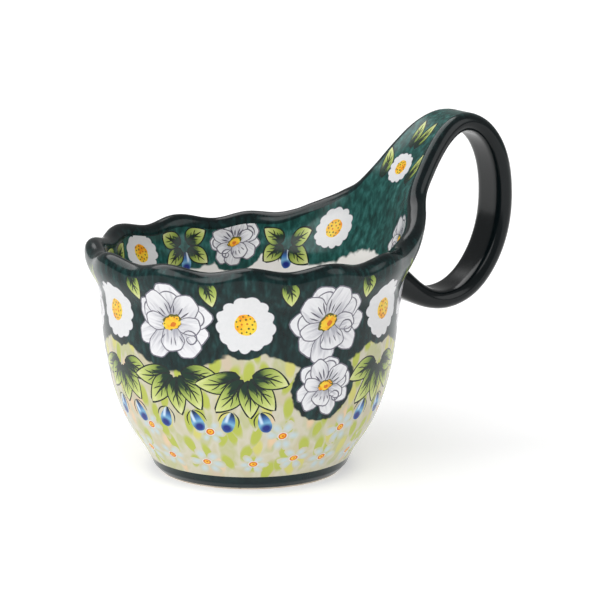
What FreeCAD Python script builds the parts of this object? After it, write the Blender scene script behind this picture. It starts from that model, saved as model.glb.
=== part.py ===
import FreeCAD, Part
import math
import os

# A stoneware mug with a scalloped rim whose wall is drawn up on one side into a tall loop handle.
# Millimetres, +Z up. The origin is the middle of the foot's resting face, and the handle points to +X.

Vector = FreeCAD.Vector

# Foot ring
FOOT_OUTER_RADIUS = 34.5
FOOT_TOP_RADIUS = 36.4
FOOT_INNER_RADIUS = 29.0
FOOT_HEIGHT = 3.0
FOOT_EDGE = 0.8

# Bowl: radius and height of the outside wall, from the foot to just under the lip
WALL_OUTLINE = [(36.4, 3.0), (38.5, 7.5), (44.0, 16.0), (49.5, 28.0), (53.0, 42.0), (54.8, 56.0),
                (55.6, 68.0)]
WALL_THICKNESS = 5.0

# Inside: the wall is parallel to the outside down to a height, then it rounds into a flat floor
INSIDE_PARALLEL_HEIGHT = 20.0
FLOOR_TOP = 8.5
FLOOR_OUTLINE = [(36.4, 13.2), (28.0, 9.4), (20.0, FLOOR_TOP), (14.0, FLOOR_TOP)]

# Lip: a rolled edge that flares outward, with scallops round it
RIM_HEIGHT = 85.0
RIM_OUTER_RADIUS = 60.3
LIP_THICKNESS = 6.8
LIP_CROWN = 0.8
RIM_ZONE = 30.0
SCALLOPS = 12
SCALLOP_RISE = 1.1
SCALLOP_FLARE = 0.8

# Shoulder: the rim climbs on both sides of the handle and is level across the handle's root
SHOULDER_RISE = 13.5
SHOULDER_FLAT = math.radians(16.0)
SHOULDER_END = math.radians(62.0)
SHOULDER_HOLLOW = 1.7
SHOULDER_FADE = 1.5
SHOULDER_LEAN = 7.0

# Handle: centreline in the XZ plane, from inside the rim, over the top and back into the wall
HANDLE_PATH = [(62.0, 91.0), (65.2, 99.0), (69.6, 107.0), (75.4, 115.0), (82.2, 121.6), (90.6, 124.8),
               (99.8, 121.8), (107.2, 112.0), (110.2, 97.5), (109.0, 82.5), (103.0, 68.4),
               (92.8, 58.6), (80.8, 56.2), (69.8, 60.4), (60.6, 66.4), (54.2, 69.4)]
# Half-width of the strap at those points, its half-thickness, and how much it is dished
HANDLE_HALF_WIDTH = [27.0, 23.2, 17.8, 14.4, 11.8, 9.8, 8.9, 8.7, 8.7, 8.7, 8.7, 8.7, 8.8, 9.2, 10.6, 12.4]
HANDLE_HALF_THICKNESS = [2.5, 2.8, 3.1, 3.2, 3.2, 3.2, 3.1, 3.1, 3.1, 3.1, 3.1, 3.1, 3.2, 4.2, 5.8, 6.8]
HANDLE_DISH_RADIUS = [62.0, 64.0, 70.0, 90.0, 150.0, 500.0]
ALMOST_FLAT_RADIUS = 4000.0

# Slip that bonds the handle, and the fired glaze
SLIP_THICKNESS = 0.8
LOWER_SLIP_TOP = 80.0
GLAZE_THICKNESS = 0.4
GLAZE_START = 1.0

# Fineness of the surfaces
RING_POINTS = 96
OUTSIDE_STATIONS = 26
INSIDE_STATIONS = 32
LIP_STATIONS = 5
STRAP_STATIONS = 64
EDGE_POINTS = 8
FLAT_POINTS = 6


def smooth_step(value):
    """0 below 0, 1 above 1, and a smooth rise between."""
    value = max(0.0, min(1.0, value))
    return value * value * (3.0 - 2.0 * value)


def curve_through(points):
    """A smooth curve through points of the XZ plane."""
    curve = Part.BSplineCurve()
    curve.interpolate([Vector(x, 0.0, z) for x, z in points])
    return curve


def even_samples(curve, count):
    """Evenly spaced parameters along a curve, ends included."""
    edge = curve.toShape()
    return [edge.getParameterByLength(edge.Length * i / (count - 1)) for i in range(count)]


def value_along(values, knots, parameter):
    """Smooth value at a curve parameter, given the values at the curve's own points."""
    last = len(values) - 1
    if parameter >= knots[last]:
        return values[last]
    i = max(k for k in range(last) if knots[k] <= parameter)
    step = (parameter - knots[i]) / (knots[i + 1] - knots[i])
    return values[i] + (values[i + 1] - values[i]) * smooth_step(step)


def surface_through_rings(rings):
    """A smooth tube-like surface whose rings are closed loops of points, all of one length."""
    count = len(rings[0])
    rows = len(rings)
    poles = [list(column) for column in zip(*rings)]
    surface = Part.BSplineSurface()
    surface.buildFromPolesMultsKnots(
        poles,
        [1] * (count + 1), [4] + [1] * (rows - 4) + [4],
        [float(i) for i in range(count + 1)], [float(i) for i in range(rows - 2)],
        True, False, 3, 3)
    return surface


def close_solid(faces):
    """One solid from faces that meet edge to edge."""
    shell = Part.makeShell(faces)
    shell.sewShape()
    solid = Part.Solid(shell)
    if solid.Volume < 0:
        solid.reverse()
    return solid


def end_cap(surface, row):
    """The flat face that closes a surface at its first or last ring."""
    first, last = surface.bounds()[2:]
    edge = surface.vIso(first if row == 0 else last).toShape()
    return Part.Face(Part.Wire([edge]))


def band_between(surface_a, surface_b, row):
    """The narrow face that joins two surfaces along their first or last rings."""
    edges = []
    for surface in (surface_a, surface_b):
        first, last = surface.bounds()[2:]
        edges.append(surface.vIso(first if row == 0 else last).toShape())
    return Part.makeRuledSurface(edges[0], edges[1])


# Bowl

def shoulder(angle):
    """How far the rim has climbed towards the handle, 0 to 1."""
    away = abs(math.remainder(angle, 2.0 * math.pi))
    fall = smooth_step((SHOULDER_END - away) / (SHOULDER_END - SHOULDER_FLAT))
    return fall ** SHOULDER_HOLLOW


def move_to_rim(radius, height, angle):
    """A point of the plain bowl moved by the scallops and by the climb to the handle."""
    near_rim = max(0.0, (height - RIM_HEIGHT + RIM_ZONE) / RIM_ZONE)
    wave = math.cos(SCALLOPS * angle) * (1.0 - shoulder(angle))
    climb = shoulder(angle) * near_rim ** SHOULDER_FADE
    radius += SCALLOP_FLARE * wave * near_rim ** 2 + SHOULDER_LEAN * climb
    height += SCALLOP_RISE * wave * near_rim ** 2 + SHOULDER_RISE * climb
    return Vector(radius * math.cos(angle), radius * math.sin(angle), height)


def outer_outline():
    """Radius and height of the bowl's outside, from the foot to the crest of the lip."""
    wall = curve_through(WALL_OUTLINE)
    points = [(wall.value(t).x, wall.value(t).z) for t in even_samples(wall, OUTSIDE_STATIONS)]
    half = LIP_THICKNESS / 2.0
    bulge_height = RIM_HEIGHT - half - LIP_CROWN
    under_radius, under_height = points[-1]
    for i in range(1, LIP_STATIONS + 1):
        step = i / (LIP_STATIONS + 1)
        radius = under_radius + (RIM_OUTER_RADIUS - under_radius) * smooth_step(step)
        points.append((radius, under_height + (bulge_height - under_height) * step))
    for i in range(LIP_STATIONS + 1):
        turn = math.radians(90.0) * i / LIP_STATIONS
        points.append((RIM_OUTER_RADIUS - half + half * math.cos(turn),
                       bulge_height + (half + LIP_CROWN) * math.sin(turn)))
    return points


def inner_outline():
    """Radius and height of the bowl's inside, from the crest of the lip to the floor."""
    half = LIP_THICKNESS / 2.0
    crest_radius = RIM_OUTER_RADIUS - half
    points = []
    for i in range(LIP_STATIONS):
        turn = math.radians(90.0) * i / LIP_STATIONS
        points.append((crest_radius - half * math.sin(turn),
                       RIM_HEIGHT - (half + LIP_CROWN) * (1.0 - math.cos(turn))))
    wall = [(radius - WALL_THICKNESS, height) for radius, height in WALL_OUTLINE
            if height > INSIDE_PARALLEL_HEIGHT]
    lip_bottom = (crest_radius - half, RIM_HEIGHT - half - LIP_CROWN)
    curve = curve_through([lip_bottom] + wall[::-1] + FLOOR_OUTLINE)
    points += [(curve.value(t).x, curve.value(t).z) for t in even_samples(curve, INSIDE_STATIONS)]
    return points


def grown(outline, distance):
    """An outline moved sideways: to its right-hand side as it is walked."""
    shifted = []
    for i, (radius, height) in enumerate(outline):
        before = outline[max(0, i - 1)]
        after = outline[min(len(outline) - 1, i + 1)]
        along_radius = after[0] - before[0]
        along_height = after[1] - before[1]
        length = math.hypot(along_radius, along_height)
        shifted.append((radius + distance * along_height / length,
                        height - distance * along_radius / length))
    return shifted


def ring_surface(outline):
    """The bowl's surface over an outline of radii and heights."""
    angles = [2.0 * math.pi * i / RING_POINTS for i in range(RING_POINTS)]
    return surface_through_rings([[move_to_rim(radius, height, angle) for angle in angles]
                                  for radius, height in outline])


def make_bowl(outside, inside):
    """The thrown bowl: wall, lip and floor."""
    return close_solid([outside.toShape(), inside.toShape(), end_cap(outside, 0), end_cap(inside, 1)])


def make_outer_glaze(outside, outside_grown):
    """Glaze over the outside, from the foot to the crest of the lip."""
    return close_solid([outside.toShape(), outside_grown.toShape(),
                        band_between(outside, outside_grown, 0), band_between(outside, outside_grown, 1)])


def make_liner_glaze(inside, inside_grown):
    """Glaze over the inside, from the crest of the lip over the whole floor."""
    return close_solid([inside.toShape(), inside_grown.toShape(), band_between(inside, inside_grown, 0),
                        end_cap(inside, 1), end_cap(inside_grown, 1)])


def make_foot_ring():
    """The turned foot ring, with softened edges and a bare resting face."""
    outline = [(FOOT_INNER_RADIUS, FOOT_HEIGHT), (FOOT_TOP_RADIUS, FOOT_HEIGHT),
               (FOOT_OUTER_RADIUS, FOOT_EDGE), (FOOT_OUTER_RADIUS - FOOT_EDGE, 0.0),
               (FOOT_INNER_RADIUS + FOOT_EDGE, 0.0), (FOOT_INNER_RADIUS, FOOT_EDGE)]
    return revolve(outline)


def make_foot_glaze():
    """The dark glaze band round the outside of the foot ring."""
    share = (GLAZE_START - FOOT_EDGE) / (FOOT_HEIGHT - FOOT_EDGE)
    start_radius = FOOT_OUTER_RADIUS + (FOOT_TOP_RADIUS - FOOT_OUTER_RADIUS) * share
    outline = [(FOOT_TOP_RADIUS, FOOT_HEIGHT), (FOOT_TOP_RADIUS + GLAZE_THICKNESS, FOOT_HEIGHT),
               (start_radius + GLAZE_THICKNESS, GLAZE_START), (start_radius, GLAZE_START)]
    return revolve(outline)


def revolve(outline):
    """A full turn about the Z axis of a closed outline of radii and heights."""
    points = [Vector(radius, 0.0, height) for radius, height in outline + outline[:1]]
    face = Part.Face(Part.makePolygon(points))
    return face.revolve(Vector(0, 0, 0), Vector(0, 0, 1), 360.0)


# Handle

def strap_section(half_width, half_thickness):
    """Closed outline of the strap: flat sides and round edges, as (across, out) pairs."""
    flat = half_width - half_thickness
    points = []
    for side in (1.0, -1.0):
        for i in range(FLAT_POINTS):
            points.append((side * flat * (2.0 * i / FLAT_POINTS - 1.0), side * half_thickness))
        for i in range(EDGE_POINTS):
            turn = math.pi * i / EDGE_POINTS
            points.append((side * (flat + half_thickness * math.sin(turn)),
                           side * half_thickness * math.cos(turn)))
    return points


def strap_surface(growth):
    """The handle's surface, with the strap's section grown by some distance."""
    path = curve_through(HANDLE_PATH)
    knots = path.getKnots()
    undished = len(HANDLE_PATH) - len(HANDLE_DISH_RADIUS)
    dish = [1.0 / radius for radius in HANDLE_DISH_RADIUS + [ALMOST_FLAT_RADIUS] * undished]
    rings = []
    for parameter in even_samples(path, STRAP_STATIONS):
        centre = path.value(parameter)
        along = path.tangent(parameter)[0]
        outward = Vector(0, 1, 0).cross(along)
        half_width = value_along(HANDLE_HALF_WIDTH, knots, parameter) + growth
        half_thickness = value_along(HANDLE_HALF_THICKNESS, knots, parameter) + growth
        radius = 1.0 / value_along(dish, knots, parameter)
        ring = []
        for across, out in strap_section(half_width, half_thickness):
            turn = across / radius
            ring.append(centre - outward * (radius - (radius - out) * math.cos(turn))
                        + Vector(0, 1, 0) * ((radius - out) * math.sin(turn)))
        rings.append(ring)
    return surface_through_rings(rings)


def make_strap(growth):
    """The whole handle, both ends still running into the bowl."""
    surface = strap_surface(growth)
    return close_solid([surface.toShape(), end_cap(surface, 0), end_cap(surface, 1)])


def moved(shape, x, z):
    """A copy of a shape, shifted in the XZ plane."""
    copy = shape.copy()
    copy.translate(Vector(x, 0.0, z))
    return copy


def slab(low, high):
    """A flat block between two heights, wider than the mug, used to keep or remove what lies there."""
    half_side = 200.0
    return Part.makeBox(2.0 * half_side, 2.0 * half_side, high - low, Vector(-half_side, -half_side, low))


def make_lower_slip(strap, bowl):
    """The layer of slip between the handle's lower end and the wall."""
    shifted = moved(bowl, SLIP_THICKNESS, 0.0)
    return strap.common(shifted).common(slab(0.0, LOWER_SLIP_TOP)).cut(bowl)


def make_upper_slip(strap, bowl):
    """The layer of slip under the handle's root, on top of the raised rim."""
    shifted = moved(bowl, 0.0, SLIP_THICKNESS)
    return strap.common(shifted).common(slab(RIM_HEIGHT, 2.0 * RIM_HEIGHT)).cut(bowl)


def make_parts():
    """Every piece of the mug by its node name."""
    outside_outline = outer_outline()
    inside_outline = inner_outline()
    outside = ring_surface(outside_outline)
    inside = ring_surface(inside_outline)
    outside_grown = ring_surface(grown(outside_outline, GLAZE_THICKNESS))
    inside_grown = ring_surface(grown(inside_outline, GLAZE_THICKNESS))

    bowl = make_bowl(outside, inside)
    strap = make_strap(0.0)
    upper_slip = make_upper_slip(strap, bowl)
    lower_slip = make_lower_slip(strap, bowl)
    outer_glaze = make_outer_glaze(outside, outside_grown)
    liner_glaze = make_liner_glaze(inside, inside_grown)
    handle_glaze = make_strap(GLAZE_THICKNESS).cut([strap, bowl, outer_glaze, liner_glaze])
    return {
        "bowl_body": bowl,
        "foot_ring": make_foot_ring(),
        "handle_loop": strap.cut([bowl, upper_slip, lower_slip]),
        "upper_slip_joint": upper_slip,
        "lower_slip_joint": lower_slip,
        "outer_glaze": outer_glaze.cut([strap, slab(0.0, FOOT_HEIGHT)]),
        "liner_glaze": liner_glaze.cut(strap),
        "handle_glaze": handle_glaze,
        "foot_glaze": make_foot_glaze(),
    }


def main():
    os.makedirs("parts", exist_ok=True)
    for name, shape in make_parts().items():
        solids = shape.Solids
        shape = solids[0] if len(solids) == 1 else Part.makeCompound(solids)
        shape.exportStep(os.path.join("parts", name + ".step"))
        box = shape.BoundBox
        print(f"{name}: {len(solids)} solid(s), valid {shape.isValid()}, {shape.Volume:.0f} mm3, "
              f"x {box.XMin:.1f} {box.XMax:.1f}, y {box.YMin:.1f} {box.YMax:.1f}, "
              f"z {box.ZMin:.1f} {box.ZMax:.1f}")


main()
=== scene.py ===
import math

import bpy
import numpy as np
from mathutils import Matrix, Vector
from mathutils.geometry import delaunay_2d_cdt


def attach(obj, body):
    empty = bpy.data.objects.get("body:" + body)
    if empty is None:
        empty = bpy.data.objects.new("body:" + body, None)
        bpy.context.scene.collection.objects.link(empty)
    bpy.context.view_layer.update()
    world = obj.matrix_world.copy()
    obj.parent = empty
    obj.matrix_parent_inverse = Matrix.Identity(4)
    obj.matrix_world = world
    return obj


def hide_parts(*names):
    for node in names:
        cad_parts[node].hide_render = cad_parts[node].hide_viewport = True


# A hand-painted stoneware mug whose scalloped rim is drawn up into a loop handle.
#
# The mug's wall and handle are treated as one bent sheet of clay. A point of the sheet has two
# coordinates in millimetres: q runs round the bowl (60 mm to the radian, 0 at the handle) and on
# the handle across the strap, and s runs up the wall and then along the strap. Everything painted
# is drawn flat in (q, s) as outlines, cut into one triangle mesh, and bent onto the sheet.

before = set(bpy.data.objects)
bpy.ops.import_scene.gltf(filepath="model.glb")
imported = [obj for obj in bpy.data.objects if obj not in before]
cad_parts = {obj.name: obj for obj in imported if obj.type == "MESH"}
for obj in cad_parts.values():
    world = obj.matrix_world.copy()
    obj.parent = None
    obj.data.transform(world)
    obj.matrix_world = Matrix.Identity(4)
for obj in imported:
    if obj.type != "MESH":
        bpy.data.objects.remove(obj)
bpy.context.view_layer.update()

MM = 0.001
TURN = 2.0 * math.pi
ROUND = 60.0                      # millimetres of q for one radian round the bowl
HALF_ROUND = ROUND * math.pi
WHOLE_ROUND = 2.0 * HALF_ROUND
MIRROR_Y = np.array([1.0, -1.0, 1.0])

# Bowl: outlines are (radius, height)
WALL_OUTLINE = [(36.4, 3.0), (38.5, 7.5), (44.0, 16.0), (49.5, 28.0), (53.0, 42.0), (54.8, 56.0),
                (55.6, 68.0)]
WALL_THICKNESS = 5.0
GLAZE = 0.4
LINER_CORNER = [(41.3, 21.2), (36.2, 13.65), (27.9, 9.82), (20.0, 8.9), (14.0, 8.9), (0.0, 8.9)]
LINER_CORNER_TOP = 22.0           # height at which the plain inside wall meets that corner
FOOT_BAND_OUTLINE = [(36.8, 3.0), (36.62, 2.7), (36.2, 2.25), (35.6, 1.6), (35.12, 1.05), (34.98, 0.9),
                     (34.7, 0.86)]
CLAY_OUTLINE = [(34.75, 1.1), (34.5, 0.8), (34.36, 0.4), (34.1, 0.12), (33.7, 0.0), (32.0, 0.0),
                (30.0, 0.0), (29.5, 0.1), (29.15, 0.4), (29.0, 0.9), (28.9, 2.2), (28.5, 2.85),
                (27.6, 3.0), (20.0, 3.05), (10.0, 3.1), (0.0, 3.1)]
FLARE_RADIUS, FLARE_START = WALL_OUTLINE[-1]
FLARE_RISE = 12.8                 # height over which the wall turns out to the rim's radius
RIM_HEIGHT = 85.0
RIM_OUTER_RADIUS = 60.3
LIP_THICKNESS = 6.8
LIP_ROUNDING = 4.2
LIP_START = 66.0                  # height at which the wall begins to thicken into the lip
LIP_RISE = 14.8
SCALLOPS = 12
SCALLOP_RISE = 1.1
SCALLOP_FLARE = 0.8
RIM_REACH = 30.0                  # the scallops and the climb fade out this far below the rim
SHOULDER_RISE = 13.5
SHOULDER_LEAN = 7.0
SHOULDER_FLAT = math.radians(16.0)
SHOULDER_END = math.radians(62.0)
SHOULDER_POWER = 1.7
CLIMB_POWER = 1.5

# Handle: centreline in the XZ plane and, at each of its points, the strap's section
HANDLE_PATH = [(62.0, 91.0), (65.2, 99.0), (69.6, 107.0), (75.4, 115.0), (82.2, 121.6), (90.6, 124.8),
               (99.8, 121.8), (107.2, 112.0), (110.2, 97.5), (109.0, 82.5), (103.0, 68.4),
               (92.8, 58.6), (80.8, 56.2), (69.8, 60.4), (60.6, 66.4), (54.2, 69.4)]
HANDLE_HALF_THICKNESS = [3.1, 3.0, 3.05, 3.1, 3.2, 3.2, 3.1, 3.1, 3.1, 3.1, 3.1, 3.1, 3.2, 4.0, 5.6, 6.8]
HANDLE_BEND = [1 / 64, 1 / 66, 1 / 72, 1 / 92, 1 / 150, 1 / 500] + [1 / 4000] * 10
STRAP_START = 80.2                # s where the strap's centreline begins
STRAP_STRETCH = 1.675             # millimetres of strap for one of s
STRAP_WIDEN = 1.08                # millimetres across the strap for one of q
STRAP_DROP = 1.4                  # how far the strap's sheet follows the rim down beside the handle
BLEND_START, BLEND_RISE = 79.0, 12.0          # s over which the bowl turns into the strap
BLEND_REACH, BLEND_FADE = 44.0, 20.0          # q over which it does so, either side of the handle
BOWL_TOP = 92.0                   # s past which the bowl's own surface isn't followed
SLOPE_STEP = 0.05                 # small step in q or s for slopes

# The free edge of the sheet on the +q side: along the rim, up the shoulder, along the strap
LIP_CREST = 86.2                  # s of the crest of the lip
RIM_EDGE_DEGREES = 58             # the crest stays level this far round from the handle
RIM_EDGE_END = ROUND * math.radians(RIM_EDGE_DEGREES)
SHEET_EDGE = [(RIM_EDGE_END, LIP_CREST), (56.5, 86.5), (52.4, 86.8), (47.5, 86.8), (43.5, 86.2),
              (39.5, 85.4), (36.0, 84.8), (32.0, 84.5), (28.0, 84.5), (24.8, 84.8), (21.8, 85.3),
              (19.4, 86.3), (17.4, 88.2), (15.9, 90.7), (14.6, 93.6), (13.3, 96.8), (11.3, 102.3),
              (9.5, 107.7), (8.6, 113.5), (8.45, 120.0), (8.4, 128.0), (8.4, 138.0), (8.4, 148.0),
              (8.4, 157.0), (8.5, 165.0), (8.95, 171.0), (10.2, 177.0), (11.8, 182.0)]
PAINT_END = 112.0                 # s where the painted pieces end and the plain strap begins
STRAP_END = 181.5
LOWER_JOINT = 150.0               # s past which the strap runs down into the wall
WALL_MIDDLE = 53.0                # radius inside the wall at which the strap's lower end is cut off
FOOT_BAND_TOP = 5.8
LINER_PAINT_LOW = 52.0            # s below which the inside is plain
OUTSIDE_SEAM, INSIDE_SEAM = -300.0, -120.0    # degrees round the bowl at which each skin is unrolled

# View and framing, in metres
CAMERA_PLACE = Vector((-0.4804, -0.8523, 0.2716))
CAMERA_AIM = Vector((0.01609, -0.00948, 0.06366))
CAMERA_LENS = 160.8
LIGHT_AIM = Vector((0.0, 0.0, 0.06))
FLOOR_REACH = 4.0


# ---------------------------------------------------------------- curves

def cubic(knots, values):
    """A function: the natural cubic spline through values at increasing knots."""
    knots = np.asarray(knots, float)
    values = np.asarray(values, float)
    gaps = np.diff(knots)
    slopes = np.diff(values) / gaps
    count = len(knots)
    system = np.eye(count)
    right = np.zeros(count)
    for i in range(1, count - 1):
        system[i, i - 1:i + 2] = gaps[i - 1], 2.0 * (gaps[i - 1] + gaps[i]), gaps[i]
        right[i] = 6.0 * (slopes[i] - slopes[i - 1])
    bends = np.linalg.solve(system, right)

    def value(x):
        x = np.asarray(x, float)
        i = np.clip(np.searchsorted(knots, x) - 1, 0, count - 2)
        gap = gaps[i]
        left = (np.clip(x, knots[0], knots[-1]) - knots[i])
        rest = gap - left
        inside = ((bends[i] * rest ** 3 + bends[i + 1] * left ** 3) / (6.0 * gap)
                  + (values[i] / gap - bends[i] * gap / 6.0) * rest
                  + (values[i + 1] / gap - bends[i + 1] * gap / 6.0) * left)
        before = np.minimum(x - knots[0], 0.0) * (slopes[0] - gaps[0] * bends[1] / 6.0)
        after = np.maximum(x - knots[-1], 0.0) * (slopes[-1] + gaps[-1] * bends[-2] / 6.0)
        return inside + before + after
    return value


def chord_lengths(points):
    """Distance walked to each point of a polyline."""
    steps = np.hypot(*np.diff(np.asarray(points, float), axis=0).T)
    return np.concatenate([[0.0], np.cumsum(steps)])


def smooth_step(value):
    """0 to 1 with a soft start and end."""
    value = np.clip(value, 0.0, 1.0)
    return value * value * (3.0 - 2.0 * value)


def heading(angle):
    """Unit vector at an angle in degrees."""
    return np.array([math.cos(math.radians(angle)), math.sin(math.radians(angle))])


def left_of(direction):
    """The same vector turned a quarter to the left."""
    return np.array([-direction[1], direction[0]])


# ---------------------------------------------------------------- the sheet

wall_radius = cubic([z for r, z in WALL_OUTLINE], [r for r, z in WALL_OUTLINE])
path_knots = chord_lengths(HANDLE_PATH)
path_x = cubic(path_knots, [x for x, z in HANDLE_PATH])
path_z = cubic(path_knots, [z for x, z in HANDLE_PATH])
strap_half = cubic(path_knots, HANDLE_HALF_THICKNESS)
strap_bend = cubic(path_knots, HANDLE_BEND)


def wrap(q):
    """The same place with q within half a turn of the handle."""
    return (q + HALF_ROUND) % WHOLE_ROUND - HALF_ROUND


def shoulder(angle):
    """How far the rim has climbed towards the handle, 0 to 1."""
    away = np.abs((angle + math.pi) % TURN - math.pi)
    return smooth_step((SHOULDER_END - away) / (SHOULDER_END - SHOULDER_FLAT)) ** SHOULDER_POWER


def bowl_point(angle, radius, s):
    """A point of the plain bowl, moved by the scallops and by the climb to the handle."""
    near_rim = np.maximum(0.0, (s - (RIM_HEIGHT - RIM_REACH)) / RIM_REACH)
    wave = np.cos(SCALLOPS * angle) * (1.0 - shoulder(angle)) * np.minimum(near_rim, 1.0) ** 2
    climb = shoulder(angle) * near_rim ** CLIMB_POWER
    radius = radius + SCALLOP_FLARE * wave + SHOULDER_LEAN * climb
    height = s + SCALLOP_RISE * wave + SHOULDER_RISE * climb
    return np.stack([radius * np.cos(angle), radius * np.sin(angle), height], -1)


def bowl_radius(s, side):
    """Radius of the wall before it is moved, outside (side 1) or inside (side -1), glaze included."""
    flare = (RIM_OUTER_RADIUS - FLARE_RADIUS) * smooth_step((s - FLARE_START) / FLARE_RISE)
    outer = np.where(s < FLARE_START, wall_radius(s), FLARE_RADIUS + flare)
    lip = smooth_step((s - LIP_START) / LIP_RISE)
    thickness = WALL_THICKNESS + (LIP_THICKNESS - WALL_THICKNESS) * lip
    return outer + GLAZE if side > 0 else outer - thickness - GLAZE


def strap_point(q, s, side):
    """A point of the strap's face: side 1 faces the hole, side -1 faces the bowl's inside."""
    drop = SHOULDER_RISE * STRAP_DROP * (1.0 - shoulder(q / ROUND))
    arc = (s - STRAP_START) * STRAP_STRETCH - drop
    along_x = path_x(arc + SLOPE_STEP) - path_x(arc - SLOPE_STEP)
    along_z = path_z(arc + SLOPE_STEP) - path_z(arc - SLOPE_STEP)
    length = np.hypot(along_x, along_z)
    out_x = along_z / length
    out_z = -along_x / length
    bend = np.maximum(strap_bend(arc), 1e-4)
    turn = q * STRAP_WIDEN * bend
    reach = side * (strap_half(arc) + GLAZE)
    swing = 1.0 / bend + reach
    sink = swing * np.cos(turn) - 1.0 / bend
    return np.stack([path_x(arc) + out_x * sink, swing * np.sin(turn), path_z(arc) + out_z * sink], -1)


def sheet_point(q, s, side):
    """A point of the mug's skin, without the rounding of the free edge."""
    q = wrap(np.asarray(q, float))
    s = np.asarray(s, float)
    onto_strap = (smooth_step((s - BLEND_START) / BLEND_RISE)
                  * smooth_step((BLEND_REACH - np.abs(q)) / BLEND_FADE))
    onto_strap = np.where(s > BLEND_START + BLEND_RISE, 1.0, onto_strap)[..., None]
    capped = np.minimum(s, BOWL_TOP)
    bowl = bowl_point(q / ROUND, bowl_radius(capped, side), capped)
    return (1.0 - onto_strap) * bowl + onto_strap * strap_point(q, np.maximum(s, STRAP_START), side)


def sheet_slopes(q, s, side, step):
    """The skin's change over step to each side, in q and in s."""
    across = sheet_point(q + step, s, side) - sheet_point(q - step, s, side)
    upward = sheet_point(q, s + step, side) - sheet_point(q, s - step, side)
    return across, upward


def sheet_normal(q, s, side):
    """Outward unit normal of the skin."""
    normal = side * np.cross(*sheet_slopes(q, s, side, SLOPE_STEP))
    return normal / np.linalg.norm(normal, axis=-1, keepdims=True)


def sheet_scale(q, s, side):
    """Real millimetres for one of q and for one of s at a place on the skin."""
    step = 0.2
    across, upward = sheet_slopes(q, s, side, step)
    return np.linalg.norm(across, axis=-1) / (2.0 * step), np.linalg.norm(upward, axis=-1) / (2.0 * step)


def free_edge():
    """The free edge on the +q side, from q = HALF_ROUND to the end of the strap, finely sampled."""
    rim = [(ROUND * math.radians(degree), LIP_CREST) for degree in range(180, RIM_EDGE_DEGREES - 1, -1)]
    knots = chord_lengths(SHEET_EDGE)
    walk = np.arange(0.0, knots[-1], 0.8)
    edge_q = cubic(knots, [q for q, s in SHEET_EDGE])(walk)
    edge_s = cubic(knots, [s for q, s in SHEET_EDGE])(walk)
    return np.concatenate([rim, np.stack([edge_q, edge_s], -1)[1:]])


def inward_offsets(edge):
    """At each point of the edge, the step in (q, s) that goes LIP_ROUNDING inwards on the sheet."""
    along = np.gradient(edge, axis=0)
    inward = np.stack([-along[:, 1], along[:, 0]], -1)
    inward /= np.linalg.norm(inward, axis=1, keepdims=True)
    step = 0.1
    places = [edge + k * step * inward for k in (0.0, 1.0)]
    middle = [(sheet_point(*at.T, 1) + sheet_point(*at.T, -1)) / 2.0 for at in places]
    stretch = np.linalg.norm(middle[1] - middle[0], axis=1) / step
    half = np.linalg.norm(sheet_point(*edge.T, 1) - sheet_point(*edge.T, -1), axis=1) / 2.0
    return inward * (half * LIP_ROUNDING / (LIP_THICKNESS / 2.0 + GLAZE) / stretch)[:, None]


# ---------------------------------------------------------------- places on the sheet

def place(degrees, height):
    """Sheet coordinates of a place given by its angle round the bowl and its real height."""
    s = height
    for _ in range(6):
        s += height - float(bowl_point(np.array(math.radians(degrees)), 50.0, np.array(s))[..., 2])
    return ROUND * math.radians(degrees), s


edge = free_edge()
offsets = inward_offsets(edge)
inner_edge = edge + offsets
cut = int(np.argmin(np.abs(inner_edge[:, 1] - PAINT_END)))
MIRROR = np.array([-1.0, 1.0])
CUT_SHARES = np.linspace(-1.0, 1.0, 9)
BASE_SEGMENTS = 180
SEAM_POINTS = 50
AROUND = np.array([WHOLE_ROUND, 0.0])


def edge_distance(q, s):
    """Millimetres of sheet from each place to the nearest free edge."""
    turned = np.abs(wrap(q))
    nearest = np.full(len(turned), 1e9)
    for point in edge[::2]:
        nearest = np.minimum(nearest, (turned - point[0]) ** 2 + (s - point[1]) ** 2)
    return np.sqrt(nearest)


# ---------------------------------------------------------------- painted shapes

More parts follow.
